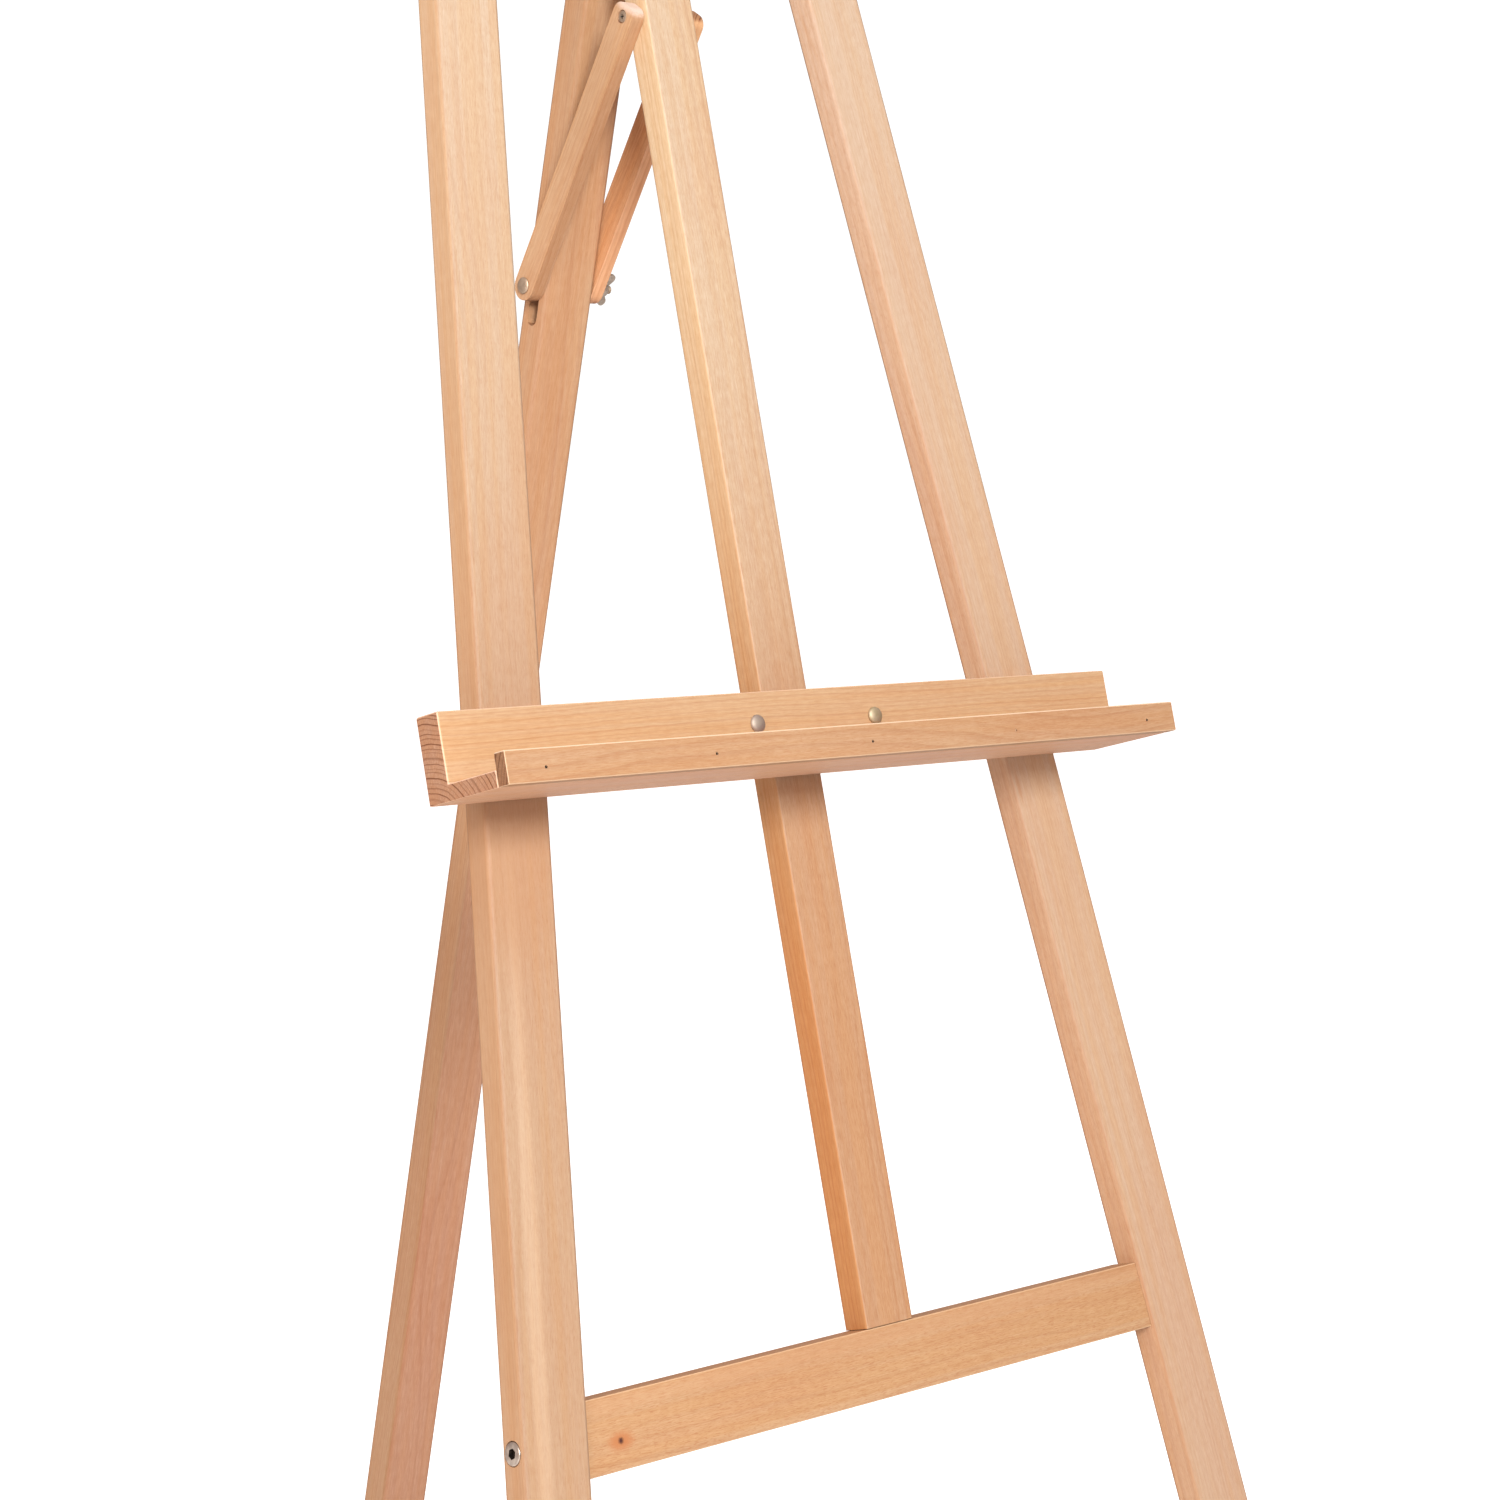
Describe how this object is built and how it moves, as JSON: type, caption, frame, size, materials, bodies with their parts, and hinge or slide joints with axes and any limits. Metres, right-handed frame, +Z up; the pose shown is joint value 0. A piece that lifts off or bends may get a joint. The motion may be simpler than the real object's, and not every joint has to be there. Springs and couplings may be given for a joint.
{
  "type": "artist easel",
  "caption": "Leaning lyre easel in beech with a folding rear leg on two slotted struts and a canvas tray clamped to the centre mast.",
  "frame": {"origin": "on the floor, in the middle of the footprint (bottom centre of the bounding box)", "axes": "+Z up, +X to the right as seen by the painter facing the easel, +Y away from the painter, towards the rear leg"},
  "size_m": [0.6432, 0.6118, 1.7147],
  "materials": {
    "beech_leg": "satin clear lacquer over straight-grained beech",
    "beech_mast": "satin clear lacquer over straight-grained beech",
    "beech_bar": "satin clear lacquer over flecked beech",
    "beech_tray": "satin clear lacquer over flecked beech",
    "beech_lip": "satin clear lacquer over flecked beech",
    "beech_rear": "satin clear lacquer over pinkish beech",
    "beech_strut": "satin clear lacquer over beech",
    "nickel_bolt": "nickel plated",
    "zinc_steel": "zinc plated",
    "yellow_zinc": "yellow passivated zinc",
    "nail_steel": "dark bright-drawn steel"
  },
  "bodies": {
    "frame": {"left_leg": "beech_leg", "right_leg": "beech_leg", "mast": "beech_mast", "lower_crossbar": "beech_bar", "upper_crossbar": "beech_bar", "leg_bolt_lower_left": "nickel_bolt", "leg_bolt_lower_right": "nickel_bolt", "leg_bolt_upper_left": "nickel_bolt", "leg_bolt_upper_right": "nickel_bolt", "barrel_nut_lower_left": "zinc_steel", "barrel_nut_lower_right": "zinc_steel", "barrel_nut_upper_left": "zinc_steel", "barrel_nut_upper_right": "zinc_steel", "mast_screw_lower": "zinc_steel", "mast_screw_upper": "zinc_steel", "strut_screw_left": "zinc_steel", "strut_screw_right": "zinc_steel", "hinge_leaf_mast": "zinc_steel", "hinge_pin": "zinc_steel", "hinge_screw_mast_1": "zinc_steel", "hinge_screw_mast_2": "zinc_steel", "hinge_screw_mast_3": "zinc_steel"},
    "rear_leg": {"rear_leg": "beech_rear", "hinge_leaf_leg": "zinc_steel", "hinge_screw_leg_1": "zinc_steel", "hinge_screw_leg_2": "zinc_steel", "hinge_screw_leg_3": "zinc_steel"},
    "struts": {"strut_left": "beech_strut", "strut_right": "beech_strut", "strut_bolt": "zinc_steel", "strut_washer": "zinc_steel"},
    "strut_wing_nut": {"strut_wing_nut": "zinc_steel"},
    "tray": {"tray_body": "beech_tray", "tray_lip": "beech_lip", "clamp_bar": "beech_strut", "tray_bolt_left": "yellow_zinc", "tray_bolt_right": "yellow_zinc", "tray_washer_left": "zinc_steel", "tray_washer_right": "zinc_steel", "lip_nail_1": "nail_steel", "lip_nail_2": "nail_steel", "lip_nail_3": "nail_steel", "lip_nail_4": "nail_steel", "lip_nail_5": "nail_steel"},
    "tray_wing_nut_left": {"tray_wing_nut_left": "zinc_steel"},
    "tray_wing_nut_right": {"tray_wing_nut_right": "zinc_steel"}
  },
  "joints": [
    {"name": "rear_leg_fold", "type": "hinge", "parent": "frame", "child": "rear_leg", "pos_m": [0.0075, 0.01333, 1.17504], "axis": [1, 0, 0], "range_deg": [-24.4, 4]},
    {"name": "strut_swing", "type": "hinge", "parent": "frame", "child": "struts", "pos_m": [0.0075, -0.0164, 1.10472], "axis": [1, 0, 0], "range_deg": [-33.6, 5.6]},
    {"name": "strut_nut_turn", "type": "hinge", "parent": "struts", "child": "strut_wing_nut", "pos_m": [0.0448, 0.0829, 0.94051], "axis": [1, 0, 0], "continuous": true},
    {"name": "tray_slide", "type": "slide", "parent": "frame", "child": "tray", "axis": [0, 0.2399, 0.9708], "range_m": [-0.36, 0.38]},
    {"name": "tray_nut_left_turn", "type": "hinge", "parent": "tray", "child": "tray_wing_nut_left", "pos_m": [-0.042, -0.09853, 0.65025], "axis": [0, 0.9708, -0.2399], "continuous": true},
    {"name": "tray_nut_right_turn", "type": "hinge", "parent": "tray", "child": "tray_wing_nut_right", "pos_m": [0.0586, -0.09853, 0.65025], "axis": [0, 0.9708, -0.2399], "continuous": true}
  ],
  "couplings": [
    {"joint": "strut_swing", "follows": "rear_leg_fold", "ratio": 1.37}
  ]
}
